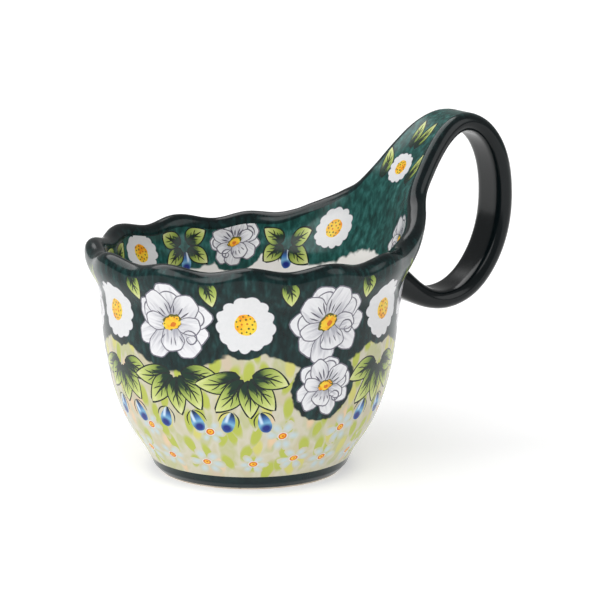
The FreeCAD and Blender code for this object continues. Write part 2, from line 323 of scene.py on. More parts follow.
class Motif:
    """A painted figure: outlines in millimetres about its own centre, each over those before it."""

    def __init__(self, centre, turn=0.0, seed=0):
        self.centre = np.asarray(centre, float)
        self.turn = math.radians(turn)
        self.random = np.random.default_rng(seed)
        self.shapes = []
        self.halo = 0.0

    def add(self, kind, outline, start, axis, half_width):
        """start and axis place u = 0 and u = 1, and half_width places v = 1."""
        self.shapes.append((kind, np.asarray(outline, float), np.asarray(start, float),
                            np.asarray(axis, float), half_width, self.random.uniform(0.0, 50.0)))

    def petal(self, start, angle, length, width, kind="petal", line="line", edge_width=0.5, wave=0.05):
        """A rounded petal from start, with a thin painted line round it."""
        turns = np.linspace(0.0, TURN, 30, endpoint=False)
        phase = self.random.uniform(0.0, TURN)
        wobble = 1.0 + wave * np.cos(3.0 * turns + phase) + 0.6 * wave * np.cos(7.0 * turns + 2.0 * phase)
        along = 0.5 + 0.5 * wobble * np.cos(turns)
        aside = wobble * np.sin(turns) * (0.74 + 0.26 * np.cos(turns))
        forward = heading(angle)
        leftward = left_of(forward)
        start = np.asarray(start, float)
        for shape, grow in ((line, edge_width), (kind, 0.0)):
            if shape:
                reach = np.outer((along - 0.5) * (length + 2.0 * grow) + 0.5 * length, forward)
                outline = start + reach + np.outer(aside * (width / 2.0 + grow), leftward)
                self.add(shape, outline, start, forward * length, width / 2.0)

    def echo(self, angle, length, width):
        """A thin line inside a petal's tip that follows its edge."""
        forward = heading(angle)
        leftward = left_of(forward)
        low, high = self.random.uniform(0.5, 0.62), self.random.uniform(0.78, 0.86)
        bends = ((low, -0.34), (high, -0.2), (high + 0.03, 0.05), (high - 0.06, 0.26))
        self.stroke([forward * length * u + leftward * width * v for u, v in bends], 0.55, "line")

    def stroke(self, points, width, kind="ink"):
        """A brush line through points, thickest in the middle and tapered at both ends."""
        knots = chord_lengths(points)
        count = max(5, int(knots[-1] / 0.9) + 2)
        walk = np.linspace(0.0, knots[-1], count)
        line = np.stack([cubic(knots, [p[0] for p in points])(walk),
                         cubic(knots, [p[1] for p in points])(walk)], -1)
        along = np.gradient(line, axis=0)
        along /= np.linalg.norm(along, axis=1, keepdims=True)
        aside = np.stack([-along[:, 1], along[:, 0]], -1)
        swell = (0.18 + 0.82 * np.sin(math.pi * np.linspace(0.0, 1.0, count)) ** 0.7)[:, None] * width / 2.0
        outline = np.concatenate([line + aside * swell, (line - aside * swell)[::-1]])
        self.add(kind, outline, line[0], line[-1] - line[0], width)

    def spot(self, centre, radius, kind, squash=1.0, turn=0.0, wobble=0.0, count=14):
        """A filled round or ragged spot."""
        turns = np.linspace(0.0, TURN, count, endpoint=False)
        ragged = 1.0 + wobble * self.random.uniform(-1.0, 1.0, count)
        flat = np.stack([radius * ragged * np.cos(turns), radius * squash * ragged * np.sin(turns)], -1)
        cos, sin = math.cos(turn), math.sin(turn)
        outline = flat @ np.array([[cos, sin], [-sin, cos]]) + centre
        self.add(kind, outline, centre, np.array([cos, sin]) * radius, radius * squash)


def peony(centre, size, turn, stretch, seed):
    """An open white flower: overlapping petals, fine lines and a ragged yellow heart."""
    flower = Motif(centre, turn, seed)
    jitter = flower.random.uniform
    flower.halo = size * 0.93
    petals = [(200, 0.97, 0.74), (-20, 0.97, 0.74), (158, 1.0, 0.82), (24, 1.0, 0.82), (90, 1.0, 0.84),
              (124, 0.97, 0.74), (58, 0.99, 0.74), (234, 0.95, 0.74), (306, 0.95, 0.76)]
    for angle, length, width in petals:
        angle += jitter(-8.0, 8.0)
        length, width = length * size * jitter(0.93, 1.04), width * size
        flower.petal((0.0, 0.0), angle, length, width, wave=0.055)
        if width > 0.8 * size:
            flower.echo(angle, length, width)
    for turn, side in ((176.0, -1.0), (-4.0, 1.0)):
        flower.petal((0.04 * side * size, 0.0), turn + jitter(-9.0, 9.0), 0.68 * size, 0.52 * size)
    side = 1.0 if seed % 2 else -1.0
    curl = ((0.24, -0.22), (0.42, -0.08), (0.6, -0.14), (0.62, -0.32), (0.46, -0.4), (0.38, -0.28),
            (0.48, -0.22))
    flower.petal((0.0, 0.0), 268 + jitter(-8.0, 8.0), 0.62 * size, 0.78 * size)
    flower.stroke([(side * size * x, size * y) for x, y in curl], 0.6, "line")
    for angle in np.array([236.0, 262.0, 285.0, 306.0]) + jitter(-5.0, 5.0, 4):
        shares = (0.3, 0.38, jitter(0.44, 0.52))
        flower.stroke([heading(angle) * size * share for share in shares], 0.45, "line")
    for angle in np.linspace(44.0, 142.0, 7) + jitter(-5.0, 5.0, 7):
        shares = (0.28, 0.4, jitter(0.5, 0.64))
        flower.stroke([heading(angle) * size * share for share in shares], 0.55, "grey")
    lean = jitter(-0.4, 0.5)
    flower.spot((0.0, 0.07 * size), 0.27 * size, "olive", 0.66, lean, 0.16, 26)
    flower.spot((0.0, 0.05 * size), 0.24 * size, "heart", 0.62, lean, 0.14, 26)
    flower.spot((0.03 * size, 0.02 * size), 0.075 * size, "ember", 0.8, lean, 0.2, 12)
    for step in range(9):
        angle = lean + math.pi * (0.02 + 0.12 * step)
        rim = np.array([math.cos(angle) * 0.22, math.sin(angle) * 0.14 + 0.06]) * size
        flower.spot(rim, 0.28, "olive", count=7)
    squeeze(flower, stretch)
    return flower


def squeeze(motif, stretch):
    """Stretches a motif along its own x axis."""
    widen = np.array([stretch, 1.0])
    motif.shapes = [(kind, outline * widen, start * widen, axis * widen, half, seed)
                    for kind, outline, start, axis, half, seed in motif.shapes]


def daisy(centre, size, heart, seed):
    """A flat white flower with a scalloped edge and a dotted yellow heart."""
    flower = Motif(centre, seed * 37.0, seed)
    flower.halo = size
    turns = np.linspace(0.0, TURN, 96, endpoint=False)
    lobes = 13
    depth = 0.055 + 0.02 * np.cos(3.0 * turns + seed)
    edge_radius = size * (1.0 - depth + 2.2 * depth * (np.abs(np.cos(lobes * turns / 2.0)) ** 0.7 - 0.55)
                          + 0.025 * np.cos(4.0 * turns + 2.0 * seed))
    for kind, grow in (("line", 0.2), ("white", 0.0)):
        outline = np.stack([(edge_radius + grow) * np.cos(turns), (edge_radius + grow) * np.sin(turns)], -1)
        flower.add(kind, outline, (0.0, 0.0), (size, 0.0), size)
    flower.spot((0.0, 0.0), heart * size, "heart", 0.95, 0.3, 0.03, 26)
    golden_angle = 2.39996
    dots = 17
    for step in range(dots):
        reach = heart * size * (0.16 + 0.76 * math.sqrt(step / dots))
        angle = step * golden_angle + seed
        dot = (reach * math.cos(angle), reach * math.sin(angle))
        flower.spot(dot, 0.34 if step > 3 else 0.42, "olive" if step > 1 else "ember", count=7)
    return flower


def leaf(base, tip, width, seed, bend, side=1):
    """A pointed leaf from base to tip, both given as sheet coordinates."""
    base, tip = np.asarray(base, float), np.asarray(tip, float)
    motif = Motif(base, 0.0, seed)
    reach = (tip - base) * sheet_scale(base[0], base[1], side)
    length = float(np.linalg.norm(reach))
    forward = reach / length
    leftward = left_of(forward)
    walk = np.linspace(0.0, 1.0, 15)
    belly = np.sin(math.pi * walk ** 0.85) ** 0.78 * (1.06 - 0.16 * walk)
    spine = bend * length * np.sin(math.pi * walk)

    def outline(grow, shift=0.0):
        half = belly * (width / 2.0) + grow
        ends = length * walk + grow * (2.2 * walk - 1.1) + shift
        left = np.outer(ends, forward) + np.outer(spine + half, leftward)
        right = np.outer(ends, forward) + np.outer(spine - half, leftward)
        return np.concatenate([left, right[::-1][1:-1]])

    motif.add("ink", outline(0.42), (0.0, 0.0), reach, width)
    motif.add("leaf", outline(-0.08), (0.0, 0.0), reach, width / 2.0)

    def vein(points, thick):
        motif.stroke([forward * length * u + leftward * (bend * length * math.sin(math.pi * u) + v * width)
                      for u, v in points], thick)

    vein([(0.03, 0.0), (0.4, 0.02), (0.82, 0.0)], 0.7)
    for turn in (-1.0, 1.0):
        for start in (0.22, 0.42):
            vein([(start, 0.0), (start + 0.12, turn * 0.15), (start + 0.26, turn * 0.27)], 0.46)
    return motif


def bud(base, tip, width, seed, side=1):
    """A blue bud hanging from base to tip."""
    base, tip = np.asarray(base, float), np.asarray(tip, float)
    motif = Motif(base, 0.0, seed)
    reach = (tip - base) * sheet_scale(base[0], base[1], side)
    length = float(np.linalg.norm(reach))
    forward = reach / length
    leftward = left_of(forward)
    angle = math.degrees(math.atan2(forward[1], forward[0]))
    for turn in (-1.0, 1.0):
        points = [forward * length * u + leftward * turn * v * width
                  for u, v in ((-0.02, 0.05), (0.25, 0.5), (0.62, 0.6))]
        motif.stroke(points, 0.55)
    motif.petal((0.0, 0.0), angle, length, width, "bud", "", wave=0.02)
    return motif


def star(centre, size, seed):
    """A small soft pale-blue flower with a ringed orange eye."""
    flower = Motif(centre, 0.0, seed)
    count = 6
    for step in range(count):
        angle = 360.0 / count * step + flower.random.uniform(-12.0, 12.0)
        flower.petal(heading(angle) * size * 0.18, angle, size * 1.2, size * 0.92, "mist", "")
    flower.spot((0.0, 0.0), 1.9, "white", 0.88, 0.3)
    flower.spot((0.0, 0.0), 1.6, "ember", 0.88, 0.3)
    flower.spot((0.0, 0.0), 0.98, "heart", 0.88, 0.3)
    flower.spot((0.1, 0.0), 0.5, "ember", 0.8, 0.3, count=9)
    return flower


def dab(centre, length, width, lean, kind, seed):
    """One soft touch of a wide brush."""
    touch = Motif(centre, 0.0, seed)
    touch.petal((0.0, -length / 2.0), 90.0 + lean, length, width, kind, "", wave=0.04)
    return touch


# ---------------------------------------------------------------- decoration

# A generic frieze: a flower under each scallop of the rim, peonies and daisies in turn, with a fan
# of leaves and buds or a small peony below each. Angles are in degrees round the bowl from the
# handle, heights and lengths in millimetres.
FLOWERS = SCALLOPS
FLOWER_STEP = 360.0 / FLOWERS
ARC = 0.93                        # millimetres round the bowl in one degree, at the fans' height
PEONY_HEIGHT, PEONY_SIZE = 65.0, 15.4
DAISY_HEIGHT, DAISY_SIZE = 66.5, 10.8
LOW_PEONY_HEIGHT, LOW_PEONY_SIZE = 41.5, 11.6
FAN_HEIGHT, FAN_GAP, FAN_LENGTH, FAN_WIDTH = 48.0, 2.5, 15.0, 7.8
FAN_TURNS = (-76.0, -38.0, 0.0, 38.0, 76.0)
BUD_TURNS = (-20.0, 20.0)
BUD_START, BUD_LENGTH = 15.5, 8.5
RIM_LEAF_TOP, RIM_LEAF_TIP, RIM_LEAF_WIDTH = 82.5, 73.0, 6.4
BUD_WIDTH = 6.4
STAR_ROWS = ((12.0, 0.0, 20.0), (24.5, 15.0, 30.0))      # height, first angle, step
TOUCH_ROWS = np.arange(11.0, 58.0, 6.4)                  # heights of the soft brush touches
TOUCH_STEP = 7.5
TOUCH_GAPS, TOUCH_GAPS_RISE = 0.12, 0.004                # share left out, and its rise with height
TOUCH_KINDS = ("lime", "lime", "lime", "straw", "peach")

INSIDE_FLOWERS = 16
INSIDE_STEP = 360.0 / INSIDE_FLOWERS
INSIDE_HEIGHT, INSIDE_CLIMB = 75.5, 13.0
INSIDE_PEONY_SIZE, INSIDE_DAISY_SIZE = 9.8, 8.4
INSIDE_CLIMB_END, INSIDE_CLIMB_REACH = 42.0, 34.0        # degrees from the handle
INSIDE_LEAF_WIDTH = 6.8
INSIDE_LEAF_RISES = (-7.0, 5.5)
INSIDE_BUD_WIDTH = 5.4
TONGUE_DAISY = (0.0, 90.5)                               # across and along the tongue
TONGUE_DAISY_SIZE = 6.4

# By side: the dark band's height and wave; how black the edge is, how wide and how soft; and the s
# at which the strap turns black, and how softly
BANDS = {1: (52.0, 4.5), -1: (69.0, 2.6)}
BAND_DIPS = FLOWERS // 2
BAND_FADE = 6.0
BLACK_EDGES = {1: (0.85, 2.6, 2.2), -1: (0.9, 2.8, 2.0)}
BLACK_STRAPS = {1: (86.0, 9.0), -1: (116.0, 20.0)}
HALO_GAP, HALO_FADE = 4.2, 3.6                           # dark ground round a flower

PAINT_SEED = 7
PITCH = 1.7                       # spacing of the plain vertices between the painted outlines


def outside_motifs():
    """Everything painted on the outside, from the first laid to the last."""
    random = np.random.default_rng(PAINT_SEED)
    touches, stars, buds, leaves, flowers = [], [], [], [], []
    for row, height in enumerate(TOUCH_ROWS):
        for column in np.arange(0.0, 360.0, TOUCH_STEP):
            if random.uniform() < TOUCH_GAPS + TOUCH_GAPS_RISE * height:
                continue
            stagger = TOUCH_STEP / 2.0 * (row % 2)
            centre = place(column + stagger + random.uniform(-1.8, 1.8) + OUTSIDE_SEAM,
                           height + random.uniform(-2.2, 2.2))
            kind = TOUCH_KINDS[random.integers(len(TOUCH_KINDS))]
            touches.append(dab(centre, random.uniform(8.5, 13.5), random.uniform(4.2, 6.2),
                               random.uniform(-24.0, 24.0), kind, random.integers(1000)))
    for height, first, step in STAR_ROWS:
        for angle in np.arange(first, 360.0, step):
            centre = place(angle + random.uniform(-2.5, 2.5), height + random.uniform(-1.5, 1.5))
            stars.append(star(centre, random.uniform(4.0, 5.4), len(stars)))
    for number in range(FLOWERS):
        angle = FLOWER_STEP * number + random.uniform(-1.6, 1.6)
        if number % 2 == 1:
            flowers.append(peony(place(angle, PEONY_HEIGHT), PEONY_SIZE, random.uniform(-24.0, 24.0),
                                 random.uniform(0.98, 1.1), number))
        else:
            flowers.append(daisy(place(angle, DAISY_HEIGHT), DAISY_SIZE, 0.38, number))
        if number % 4 == 1:
            flowers.append(peony(place(angle, LOW_PEONY_HEIGHT), LOW_PEONY_SIZE,
                                 random.uniform(-24.0, 24.0), 1.0, FLOWERS + number))
        else:
            fan_leaves, fan_buds = fan(angle, number, random)
            leaves += fan_leaves
            buds += fan_buds
        between = angle + FLOWER_STEP / 2.0
        leaves.append(leaf(place(between - 1.0, RIM_LEAF_TOP), place(between + 1.5, RIM_LEAF_TIP),
                           RIM_LEAF_WIDTH, 90 + number, 0.05))
    return touches + stars + buds + leaves + flowers


def fan(angle, number, random):
    """The leaves that spread below a flower, and the buds that hang between them."""
    def reach(turn, distance):
        lean = math.radians(turn)
        return place(angle + distance * math.sin(lean) / ARC, FAN_HEIGHT - distance * math.cos(lean))

    leaves, buds = [], []
    for k, turn in enumerate(FAN_TURNS):
        turn += random.uniform(-5.0, 5.0)
        length = FAN_LENGTH * random.uniform(0.88, 1.12)
        leaves.append(leaf(reach(turn, FAN_GAP), reach(turn, FAN_GAP + length), FAN_WIDTH,
                           10 * number + k, random.uniform(-0.07, 0.09)))
    for k, turn in enumerate(BUD_TURNS):
        buds.append(bud(reach(turn, BUD_START), reach(turn, BUD_START + BUD_LENGTH), BUD_WIDTH,
                        10 * number + k))
    return leaves, buds


def inside_level(angle):
    """Height of the inside flowers, which climb with the shoulder towards the handle."""
    turned = abs((angle + 180.0) % 360.0 - 180.0)
    return INSIDE_HEIGHT + INSIDE_CLIMB * float(smooth_step((INSIDE_CLIMB_END - turned) / INSIDE_CLIMB_REACH))


def inside_motifs():
    """Everything painted on the inside and on the tongue that leads onto the handle."""
    random = np.random.default_rng(PAINT_SEED + 1)
    buds, leaves, flowers = [], [], []
    for number in range(INSIDE_FLOWERS):
        angle = INSIDE_STEP * number + random.uniform(-2.0, 2.0)
        if number == 0:                       # the tongue is here
            continue
        level = inside_level(angle)
        if number % 2 == 0:
            for rise in INSIDE_LEAF_RISES:
                for side in (-1.0, 1.0):
                    leaves.append(leaf(place(angle + 2.0 * side, level + 0.15 * rise),
                                       place(angle + 10.0 * side, level + rise), INSIDE_LEAF_WIDTH,
                                       4 * number + int(side), random.uniform(-0.08, 0.1), -1))
            buds.append(bud(place(angle, level - 2.0), place(angle, level - 9.5), INSIDE_BUD_WIDTH,
                            number, -1))
        elif number % 4 == 1:
            flowers.append(daisy(place(angle, level), INSIDE_DAISY_SIZE, 0.44, 60 + number))
        else:
            flowers.append(peony(place(angle, level), INSIDE_PEONY_SIZE, random.uniform(-24.0, 24.0),
                                 1.04, 40 + number))
    across, along = TONGUE_DAISY
    flowers.append(daisy((across, along), TONGUE_DAISY_SIZE, 0.48, 80))
    for side in (-1.0, 1.0):
        leaves.append(leaf((across + 8.0 * side, along - 3.0), (across + 11.0 * side, along + 4.0), 5.0,
                           81, 0.06, -1))
        leaves.append(leaf((across + 1.4 * side, along + 5.0), (across + 3.6 * side, along + 12.0), 4.2,
                           82, 0.06, -1))
    return buds + leaves + flowers


def border_height(q, height, wave):
    """Height of the dark band's lower edge at each q: it dips below every peony of the frieze."""
    return height - wave * np.cos(BAND_DIPS * (q / ROUND - math.radians(FLOWER_STEP)))


# ---------------------------------------------------------------- the glazed skin

KINDS = ["ground", "petal", "white", "line", "grey", "leaf", "ink", "bud", "heart", "ember", "olive", "mist",
         "lime", "straw", "peach"]


def tones(q, s, side, motifs):
    """For each vertex: how far inside the dark band it is, how near a flower, and how black."""
    strength, reach, fade = BLACK_EDGES[side]
    strap_start, strap_fade = BLACK_STRAPS[side]
    band = 0.5 + (s - border_height(wrap(q), *BANDS[side])) / BAND_FADE
    black = np.maximum(strength * smooth_step((reach - edge_distance(q, s)) / fade),
                       smooth_step((s - strap_start) / strap_fade))
    halo = np.zeros(len(q))
    for motif in motifs:
        if motif.halo:
            scale_q, scale_s = sheet_scale(motif.centre[0], motif.centre[1], side)
            gap = np.hypot(wrap(q - motif.centre[0]) * scale_q, (s - motif.centre[1]) * scale_s)
            halo = np.maximum(halo, smooth_step((motif.halo + HALO_GAP - gap) / HALO_FADE))
    return np.stack([np.clip(band, 0.0, 1.0), halo, black], -1)


def skin_border(low_q, low_s):
    """The closed outline of a painted skin, unrolled from low_q, anticlockwise from its lower left."""
    seam = low_q + WHOLE_ROUND
    right = inner_edge[:cut + 1]
    shares = CUT_SHARES[::-1][1:-1]
    across = np.stack([right[-1, 0] * shares, np.full(len(shares), right[-1, 1])], -1)
    ring = np.concatenate([right, across, (right * MIRROR)[::-1]])
    unrolled = np.concatenate([ring + AROUND, ring[1:], ring[1:] - AROUND])
    top = unrolled[(unrolled[:, 0] < seam + 1e-6) & (unrolled[:, 0] > low_q - 1e-6)]
    bottom_q = np.linspace(low_q, seam, BASE_SEGMENTS + 1)
    bottom = np.stack([bottom_q, np.full(len(bottom_q), low_s)], -1)
    rise = np.linspace(low_s, top[0, 1], SEAM_POINTS)[1:-1]
    seam_right = np.stack([np.full(len(rise), seam), rise], -1)
    seam_left = np.stack([np.full(len(rise), low_q), rise[::-1]], -1)
    return np.concatenate([bottom, seam_right, top, seam_left])


def inside_outline(points, outline):
    """Which points lie inside a closed outline."""
    inside = np.zeros(len(points), bool)
    for (x0, y0), (x1, y1) in zip(outline, np.roll(outline, -1, 0)):
        if y0 != y1:
            crosses = (y0 > points[:, 1]) != (y1 > points[:, 1])
            inside ^= crosses & (points[:, 0] < (x1 - x0) * (points[:, 1] - y0) / (y1 - y0) + x0)
    return inside


def lay_out(motifs, side, low_q):
    """Every painted shape in sheet coordinates, also a turn to each side where it crosses the seam."""
    laid = []
    for motif in motifs:
        scale = np.array(sheet_scale(motif.centre[0], motif.centre[1], side), float)
        cos, sin = math.cos(motif.turn), math.sin(motif.turn)
        turn = np.array([[cos, sin], [-sin, cos]])
        for kind, outline, start, axis, half_width, seed in motif.shapes:
            flat = outline @ turn / scale + motif.centre
            begin = start @ turn / scale + motif.centre
            for shift in (-AROUND, 0.0 * AROUND, AROUND):
                if flat[:, 0].max() + shift[0] > low_q and flat[:, 0].min() + shift[0] < low_q + AROUND[0]:
                    laid.append((kind, flat + shift, begin + shift, axis @ turn, scale, half_width, seed))
    return laid


def topmost(middles, laid):
    """For each place, the last laid shape that covers it, or -1."""
    order = np.argsort(middles[:, 0])
    ordered = middles[order]
    top = np.full(len(middles), -1)
    for number, shape in enumerate(laid):
        outline = shape[1]
        first, last = np.searchsorted(ordered[:, 0], (outline[:, 0].min(), outline[:, 0].max()))
        near = np.arange(first, last)
        heights = ordered[near, 1]
        near = near[(heights > outline[:, 1].min()) & (heights < outline[:, 1].max())]
        top[order[near[inside_outline(ordered[near], outline)]]] = number
    return top


def paint_skin(name, side, low_q, low_s, motifs, materials):
    """One glazed skin: its outline and every painted outline cut into one mesh, bent onto the sheet."""
    border = skin_border(low_q, low_s)
    laid = lay_out(motifs, side, low_q)
    columns = np.arange(low_q + PITCH, low_q + AROUND[0] - 0.5 * PITCH, PITCH)
    rows = np.arange(low_s + PITCH, PAINT_END - 0.5 * PITCH, PITCH * 0.87)
    grid = np.array([(q + 0.5 * PITCH * (k % 2), s) for k, s in enumerate(rows) for q in columns])
    points, edges = [grid[inside_outline(grid, border)]], []
    start = len(points[0])
    for outline in [border] + [shape[1] for shape in laid]:
        count = len(outline)
        edges += [(start + k, start + (k + 1) % count) for k in range(count)]
        points.append(outline)
        start += count
    corners = [Vector(point) for point in np.concatenate(points)]
    flat, _, triangles, *_ = delaunay_2d_cdt(corners, edges, [], 0, 1e-5, False)
    flat = np.array([tuple(p) for p in flat])
    triangles = np.array(triangles)
    middles = flat[triangles].mean(1)
    triangles = triangles[inside_outline(middles, border)]
    top = topmost(flat[triangles].mean(1), laid)
    if side < 0:
        triangles = triangles[:, ::-1]

    kinds = np.zeros(len(triangles), int)
    local = np.zeros((len(triangles), 3, 3))
    for number in np.unique(top[top >= 0]):
        kind, _, begin, axis, scale, half_width, seed = laid[number]
        mine = top == number
        away = (flat[triangles[mine]] - begin) * scale
        aside = left_of(axis) / np.hypot(*axis)
        local[mine, :, 0] = away @ axis / (axis @ axis)
        local[mine, :, 1] = away @ aside / half_width
        local[mine, :, 2] = seed
        kinds[mine] = KINDS.index(kind)
    used, renumbered = np.unique(triangles, return_inverse=True)
    q, s = flat[used].T
    skin = make_piece(name, sheet_point(q, s, side), renumbered.reshape(-1, 3).tolist(),
                      sheet_normal(q, s, side), materials, kinds)
    add_tones(skin, tones(q, s, side, motifs))
    attribute = skin.data.attributes.new("local", "FLOAT_VECTOR", "CORNER")
    attribute.data.foreach_set("vector", local.astype(np.float32).ravel())
    return skin


def make_piece(name, points, faces, normals, materials, kinds=None):
    """A mesh object in metres from points in millimetres, riding on the mug's one body."""
    mesh = bpy.data.meshes.new(name)
    mesh.from_pydata((np.asarray(points) * MM).tolist(), [], faces)
    for material in materials:
        mesh.materials.append(material)
    if kinds is not None:
        mesh.polygons.foreach_set("material_index", kinds)
    mesh.polygons.foreach_set("use_smooth", [True] * len(faces))
    mesh.update()
    if normals is not None:
        mesh.normals_split_custom_set_from_vertices(np.asarray(normals).tolist())
    piece = bpy.data.objects.new(name, mesh)
    bpy.context.scene.collection.objects.link(piece)
    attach(piece, "root")
    return piece


def add_tones(piece, values):
    """Stores the tones of each vertex for the glazes."""
    tone = piece.data.attributes.new("tone", "FLOAT_VECTOR", "POINT")
    tone.data.foreach_set("vector", np.asarray(values, np.float32).ravel())


# ---------------------------------------------------------------- plain glazed pieces

LIP_STEPS = 10
LIP_TURNS = np.linspace(0.0, math.pi, LIP_STEPS + 1)


def rounded_edge(rows):
    """Points, (q, s) and side of the rounded edge over some rows of the +q edge, row by row."""
    at = edge[rows][:, None] + offsets[rows][:, None] * (1.0 - np.sin(LIP_TURNS))[None, :, None]
    outside = sheet_point(at[..., 0], at[..., 1], 1)
    inside = sheet_point(at[..., 0], at[..., 1], -1)
    share = ((1.0 + np.cos(LIP_TURNS)) / 2.0)[None, :, None]
    return share * outside + (1.0 - share) * inside, at


def grid_faces(rows, columns, closed=False):
    """Quads over a grid of vertices numbered row by row."""
    wide = columns if closed else columns - 1
    return [(r * columns + c, r * columns + (c + 1) % columns, (r + 1) * columns + (c + 1) % columns,
             (r + 1) * columns + c) for r in range(rows - 1) for c in range(wide)]


def grid_normals(points, closed=False):
    """Unit normals of a grid of points, columns crossed with rows."""
    if closed:
        wrapped = np.concatenate([points[:, -1:], points, points[:, :1]], 1)
        aside = (wrapped[:, 2:] - wrapped[:, :-2])
    else:
        aside = np.gradient(points, axis=1)
    normal = np.cross(aside, np.gradient(points, axis=0))
    return normal / np.linalg.norm(normal, axis=-1, keepdims=True)


def grid_tones(q, s, side):
    """Tones over a grid of places with nothing painted near."""
    return tones(q.ravel(), s.ravel(), side, []).reshape(q.shape + (3,))


def lip_tones(at):
    """Tones of rounded-edge points: the outside's up to the crest, then the inside's."""
    outside, inside = (grid_tones(at[..., 0], at[..., 1], side) for side in (1, -1))
    return np.where((np.arange(at.shape[1]) <= LIP_STEPS // 2)[None, :, None], outside, inside)


def make_rim_edge(material):
    """The rolled lip all the way round and up both sides of the tongue."""
    points, at = rounded_edge(np.arange(cut + 1))
    mirrored = points * MIRROR_Y
    normals = grid_normals(points)
    normals[:, 0] = sheet_normal(at[:, 0, 0], at[:, 0, 1], 1)
    normals[:, -1] = sheet_normal(at[:, -1, 0], at[:, -1, 1], -1)
    tone = lip_tones(at)
    whole = np.concatenate([mirrored[:0:-1], points])
    whole_normals = np.concatenate([normals[:0:-1] * MIRROR_Y, normals])
    whole_tones = np.concatenate([tone[:0:-1], tone])
    rows, columns = whole.shape[:2]
    faces = grid_faces(rows, columns)
    piece = make_piece("rim_edge", whole.reshape(-1, 3), faces, whole_normals.reshape(-1, 3), [material])
    add_tones(piece, whole_tones.reshape(-1, 3))
    return piece


def make_handle(material):
    """The handle from the end of the painted tongue over the loop and back into the wall."""
    rows = np.arange(cut, len(edge))
    rows = rows[edge[rows, 1] <= STRAP_END]
    lip, at = rounded_edge(rows)
    q_in = at[:, 0, 0][:, None] * CUT_SHARES[None]
    s_in = np.repeat(at[:, 0, 1][:, None], len(CUT_SHARES), 1)
    outer = sheet_point(q_in, s_in, 1)
    inner = sheet_point(q_in, s_in, -1)[:, ::-1]
    edge_tones = lip_tones(at)
    outer_tones = grid_tones(q_in, s_in, 1)
    inner_tones = grid_tones(q_in, s_in, -1)[:, ::-1]
    points = np.concatenate([outer, lip[:, 1:-1], inner, (lip * MIRROR_Y)[:, -2:0:-1]], 1)
    tone = np.concatenate([outer_tones, edge_tones[:, 1:-1], inner_tones, edge_tones[:, -2:0:-1]], 1)
    radius = np.hypot(points[..., 0], points[..., 1])
    buried = (s_in[:, :1] > LOWER_JOINT) & (radius < WALL_MIDDLE)
    points[..., :2] *= np.where(buried, WALL_MIDDLE / radius, 1.0)[..., None]
    normals = grid_normals(points, True)
    first = len(CUT_SHARES)
    normals[0, :first] = sheet_normal(q_in[0], s_in[0], 1)
    normals[0, first + LIP_STEPS - 1:2 * first + LIP_STEPS - 1] = sheet_normal(q_in[0], s_in[0], -1)[::-1]
    count, columns = points.shape[:2]
    faces = grid_faces(count, columns, True)
    faces.append([(count - 1) * columns + c for c in range(columns)])
    piece = make_piece("handle_strap", points.reshape(-1, 3), faces, normals.reshape(-1, 3), [material])
    add_tones(piece, tone.reshape(-1, 3))
    return piece


def make_turned(name, outline, material, segments=BASE_SEGMENTS):
    """A piece of revolution; an outline that ends on the axis is closed there."""
    outline = np.asarray(outline, float)
    closes = outline[-1, 0] < 1e-6
    rings = outline[:-1] if closes else outline
    turns = np.radians(np.arange(segments) * 360.0 / segments)
    points = np.stack([np.outer(rings[:, 0], np.cos(turns)), np.outer(rings[:, 0], np.sin(turns)),
                       np.repeat(rings[:, 1:], segments, 1)], -1).reshape(-1, 3)
    faces = [face[::-1] for face in grid_faces(len(rings), segments, True)]
    if closes:
        points = np.concatenate([points, [(0.0, 0.0, outline[-1, 1])]])
        last = (len(rings) - 1) * segments
        faces += [(last + (k + 1) % segments, last + k, len(points) - 1) for k in range(segments)]
    return make_piece(name, points, faces, None, [material])


def liner_outline():
    """Inside of the bowl from the painted skin down the wall and over the floor to the middle."""
    heights = np.linspace(LINER_PAINT_LOW, LINER_CORNER_TOP, 16)
    wall = [(float(bowl_radius(s, -1)), s) for s in heights]
    knots = chord_lengths(LINER_CORNER)
    walk = np.linspace(0.0, knots[-1], 28)
    radius = cubic(knots, [r for r, z in LINER_CORNER])(walk)
    height = cubic(knots, [z for r, z in LINER_CORNER])(walk)
    radius[-1] = 0.0
    return wall + list(zip(radius, height))


# ---------------------------------------------------------------- glazes and clay

BLACK = (0.0022, 0.0045, 0.0055)


def wire(tree, kind, inputs=None, **settings):
    """A new node with its settings, and each input set to a value or linked to a socket."""
    node = tree.nodes.new(kind)
    for key, value in settings.items():
        setattr(node, key, value)
    for key, value in (inputs or {}).items():
        if isinstance(value, bpy.types.NodeSocket):
            tree.links.new(value, node.inputs[key])
        else:
            node.inputs[key].default_value = value
    return node


def calc(tree, operation, first, second=0.0):
    """One step of arithmetic."""
    return wire(tree, "ShaderNodeMath", {0: first, 1: second}, operation=operation).outputs[0]


def mix(tree, share, first, second):
    """The first colour, giving way to the second as share goes to 1."""
    node = wire(tree, "ShaderNodeMix", {0: share}, data_type="RGBA")
    for slot, value in ((6, first), (7, second)):
        if isinstance(value, bpy.types.NodeSocket):
            tree.links.new(value, node.inputs[slot])
        else:
            node.inputs[slot].default_value = tuple(value) + (1.0,)
    return node.outputs[2]


def between(tree, value, low, high):
    """A smooth 0 to 1 as value goes from low to high."""
    return wire(tree, "ShaderNodeMapRange", {"Value": value, "From Min": low, "From Max": high},
                interpolation_type="SMOOTHSTEP").outputs[0]


def ramp(tree, value, stops):
    """A colour from stops of position and colour."""
    node = wire(tree, "ShaderNodeValToRGB", {0: value})
    elements = node.color_ramp.elements
    while len(elements) < len(stops):
        elements.new(0.5)
    for element, (position, colour) in zip(elements, stops):
        element.position = position
        element.color = tuple(colour) + (1.0,)
    return node.outputs[0]


